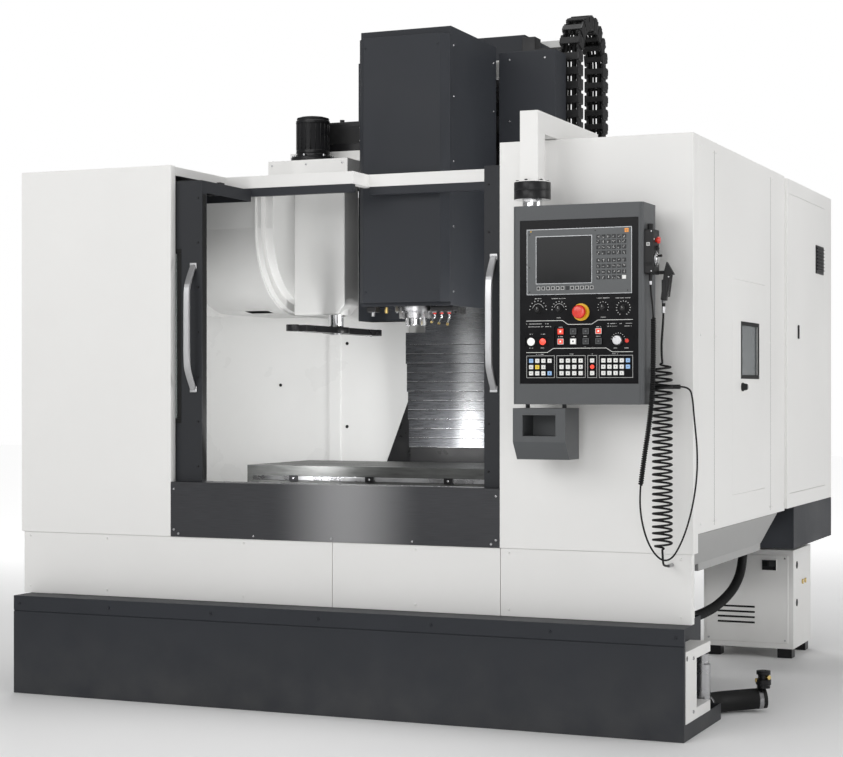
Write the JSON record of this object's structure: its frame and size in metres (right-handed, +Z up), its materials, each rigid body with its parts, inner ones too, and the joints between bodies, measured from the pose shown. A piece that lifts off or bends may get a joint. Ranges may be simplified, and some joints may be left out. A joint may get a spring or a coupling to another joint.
{
  "type": "cnc machining center",
  "caption": "Vertical machining center with sliding front doors, moving table, spindle head, tool changer, telescopic way covers and a swivelling operator pendant.",
  "frame": {"origin": "on the floor, at the middle of the enclosure's width, in the plane of its front panels", "axes": "+X to the operator's right, +Y to the back of the machine, +Z up"},
  "size_m": [3.103, 2.8543, 3.0349],
  "materials": {
    "white": "satin powder coat",
    "graphite": "satin powder coat",
    "slate": "satin powder coat",
    "brushed": "dark brushed",
    "bright": "bright brushed",
    "machined": "ground",
    "casting": "painted casting",
    "table_iron": "ground, oiled",
    "cover_steel": "rolled sheet",
    "hopper": "satin",
    "black": "satin",
    "panel_black": "gloss",
    "keys": "matte",
    "stop_red": "gloss",
    "dial_black": "matte",
    "cable": "matte",
    "chain_black": "matte",
    "plastic_black": "matte",
    "chrome": "ground"
  },
  "bodies": {
    "machine": {"coolant_tank": "graphite", "bed_casting": "casting", "levelling_feet": "black", "column_casting": "casting", "column_covers": "graphite", "front_panels": "white", "apron_and_rails": "brushed", "side_panels": "white", "door_beam": "white", "inner_panels": "white", "chip_hopper": "hopper", "rear_cabinets": "white", "rear_unit": "white", "magazine_cover": "white", "changer_gearbox": "white", "servo_motors": "black", "axis_guides": "machined", "pendant_arm": "white", "floor_pipes": "cable", "drag_chain": "chain_black"},
    "left_door": {"left_door": "slate", "left_handle": "bright"},
    "right_door": {"right_door": "slate", "right_handle": "bright"},
    "service_door": {"service_door": "white"},
    "service_knob": {"service_knob": "dial_black"},
    "cabinet_door": {"cabinet_door": "white"},
    "cabinet_latch": {"cabinet_latch": "dial_black"},
    "saddle": {"saddle": "casting"},
    "table": {"table": "table_iron"},
    "head": {"head_casting": "casting", "head_front_cover": "graphite", "head_rear_cover": "graphite", "spindle_cartridge": "chrome", "spindle_motor": "black", "way_cover_4": "cover_steel"},
    "spindle": {"spindle_nose": "chrome"},
    "way_cover_3": {"way_cover_3": "cover_steel"},
    "way_cover_2": {"way_cover_2": "cover_steel"},
    "way_cover_1": {"way_cover_1": "cover_steel"},
    "magazine": {"magazine_disc": "machined"},
    "changer_shaft": {"changer_shaft": "chrome"},
    "exchange_arm": {"exchange_arm": "black"},
    "pendant": {"pendant_housing": "slate", "pendant_panel": "panel_black", "handset": "plastic_black", "air_gun": "plastic_black", "air_hose": "cable", "air_hose_coil": "cable", "handset_cable": "cable", "handset_cable_coil": "cable"},
    "panel_keys": {"panel_keys": "keys"},
    "stop_button": {"stop_button": "stop_red"},
    "feed_dial": {"feed_dial": "dial_black"},
    "dial_1": {"dial_1": "dial_black"},
    "dial_2": {"dial_2": "dial_black"},
    "dial_3": {"dial_3": "dial_black"},
    "dial_4": {"dial_4": "dial_black"},
    "handwheel": {"handwheel": "bright"},
    "air_gun_trigger": {"air_gun_trigger": "plastic_black"}
  },
  "joints": [
    {"name": "left_door_slide", "type": "slide", "parent": "machine", "child": "left_door", "axis": [1, 0, 0], "range_m": [0, 0.513]},
    {"name": "right_door_slide", "type": "slide", "parent": "machine", "child": "right_door", "axis": [-1, 0, 0], "range_m": [0, 0.734]},
    {"name": "service_door_hinge", "type": "hinge", "parent": "machine", "child": "service_door", "pos_m": [1.474, 1.17, 1.289], "axis": [0, 0, 1], "range_deg": [0, 110]},
    {"name": "service_knob_turn", "type": "hinge", "parent": "service_door", "child": "service_knob", "pos_m": [1.4743, 0.756, 1.288], "axis": [1, 0, 0], "range_deg": [0, 90]},
    {"name": "cabinet_door_hinge", "type": "hinge", "parent": "machine", "child": "cabinet_door", "pos_m": [1.486, 2.397, 1.483], "axis": [0, 0, 1], "range_deg": [0, 110]},
    {"name": "cabinet_latch_turn", "type": "hinge", "parent": "cabinet_door", "child": "cabinet_latch", "pos_m": [1.4863, 1.78, 1.539], "axis": [1, 0, 0], "range_deg": [0, 90]},
    {"name": "saddle_y", "type": "slide", "parent": "machine", "child": "saddle", "axis": [0, 1, 0], "range_m": [-0.3, 0.22]},
    {"name": "table_x", "type": "slide", "parent": "saddle", "child": "table", "axis": [1, 0, 0], "range_m": [-0.46, 0.56]},
    {"name": "head_z", "type": "slide", "parent": "machine", "child": "head", "axis": [0, 0, 1], "range_m": [-0.52, 0], "deforming": ["drag_chain"]},
    {"name": "spindle_spin", "type": "hinge", "parent": "head", "child": "spindle", "pos_m": [0, 0.85, 1.6], "axis": [0, 0, 1], "continuous": true},
    {"name": "way_cover_3_z", "type": "slide", "parent": "machine", "child": "way_cover_3", "axis": [0, 0, 1], "range_m": [-0.39, 0]},
    {"name": "way_cover_2_z", "type": "slide", "parent": "machine", "child": "way_cover_2", "axis": [0, 0, 1], "range_m": [-0.26, 0]},
    {"name": "way_cover_1_z", "type": "slide", "parent": "machine", "child": "way_cover_1", "axis": [0, 0, 1], "range_m": [-0.13, 0]},
    {"name": "magazine_index", "type": "hinge", "parent": "machine", "child": "magazine", "pos_m": [-0.78, 0.85, 1.915], "axis": [1, 0, 0], "continuous": true},
    {"name": "changer_shaft_z", "type": "slide", "parent": "machine", "child": "changer_shaft", "axis": [0, 0, 1], "range_m": [-0.11, 0]},
    {"name": "exchange_arm_swing", "type": "hinge", "parent": "changer_shaft", "child": "exchange_arm", "pos_m": [-0.39, 0.85, 1.54], "axis": [0, 0, 1], "range_deg": [0, 270]},
    {"name": "pendant_swivel", "type": "hinge", "parent": "machine", "child": "pendant", "pos_m": [0.911, -0.175, 2], "axis": [0, 0, 1], "range_deg": [-90, 0]},
    {"name": "panel_keys_press", "type": "slide", "parent": "pendant", "child": "panel_keys", "axis": [0, 1, 0], "range_m": [0, 0.0015], "stiffness_N_per_m": 800},
    {"name": "stop_button_press", "type": "slide", "parent": "pendant", "child": "stop_button", "axis": [0, 1, 0], "range_m": [0, 0.004]},
    {"name": "feed_dial_turn", "type": "hinge", "parent": "pendant", "child": "feed_dial", "pos_m": [1.267, -0.256, 1.454], "axis": [0, 1, 0], "range_deg": [-150, 150]},
    {"name": "dial_1_turn", "type": "hinge", "parent": "pendant", "child": "dial_1", "pos_m": [0.962, -0.256, 1.569], "axis": [0, 1, 0], "range_deg": [-140, 140]},
    {"name": "dial_2_turn", "type": "hinge", "parent": "pendant", "child": "dial_2", "pos_m": [1.043, -0.256, 1.57], "axis": [0, 1, 0], "range_deg": [-140, 140]},
    {"name": "dial_3_turn", "type": "hinge", "parent": "pendant", "child": "dial_3", "pos_m": [1.21, -0.256, 1.573], "axis": [0, 1, 0], "range_deg": [-140, 140]},
    {"name": "dial_4_turn", "type": "hinge", "parent": "pendant", "child": "dial_4", "pos_m": [1.286, -0.256, 1.569], "axis": [0, 1, 0], "range_deg": [-140, 140]},
    {"name": "handwheel_turn", "type": "hinge", "parent": "pendant", "child": "handwheel", "pos_m": [1.3926, -0.207, 1.745], "axis": [1, 0, 0], "continuous": true},
    {"name": "trigger_pull", "type": "hinge", "parent": "pendant", "child": "air_gun_trigger", "pos_m": [1.4395, -0.165, 1.688], "axis": [0, 1, 0], "range_deg": [0, 3], "stiffness_Nm_per_rad": 0.5}
  ],
  "couplings": [
    {"joint": "way_cover_3_z", "follows": "head_z", "ratio": 0.75},
    {"joint": "way_cover_2_z", "follows": "head_z", "ratio": 0.5},
    {"joint": "way_cover_1_z", "follows": "head_z", "ratio": 0.25}
  ]
}
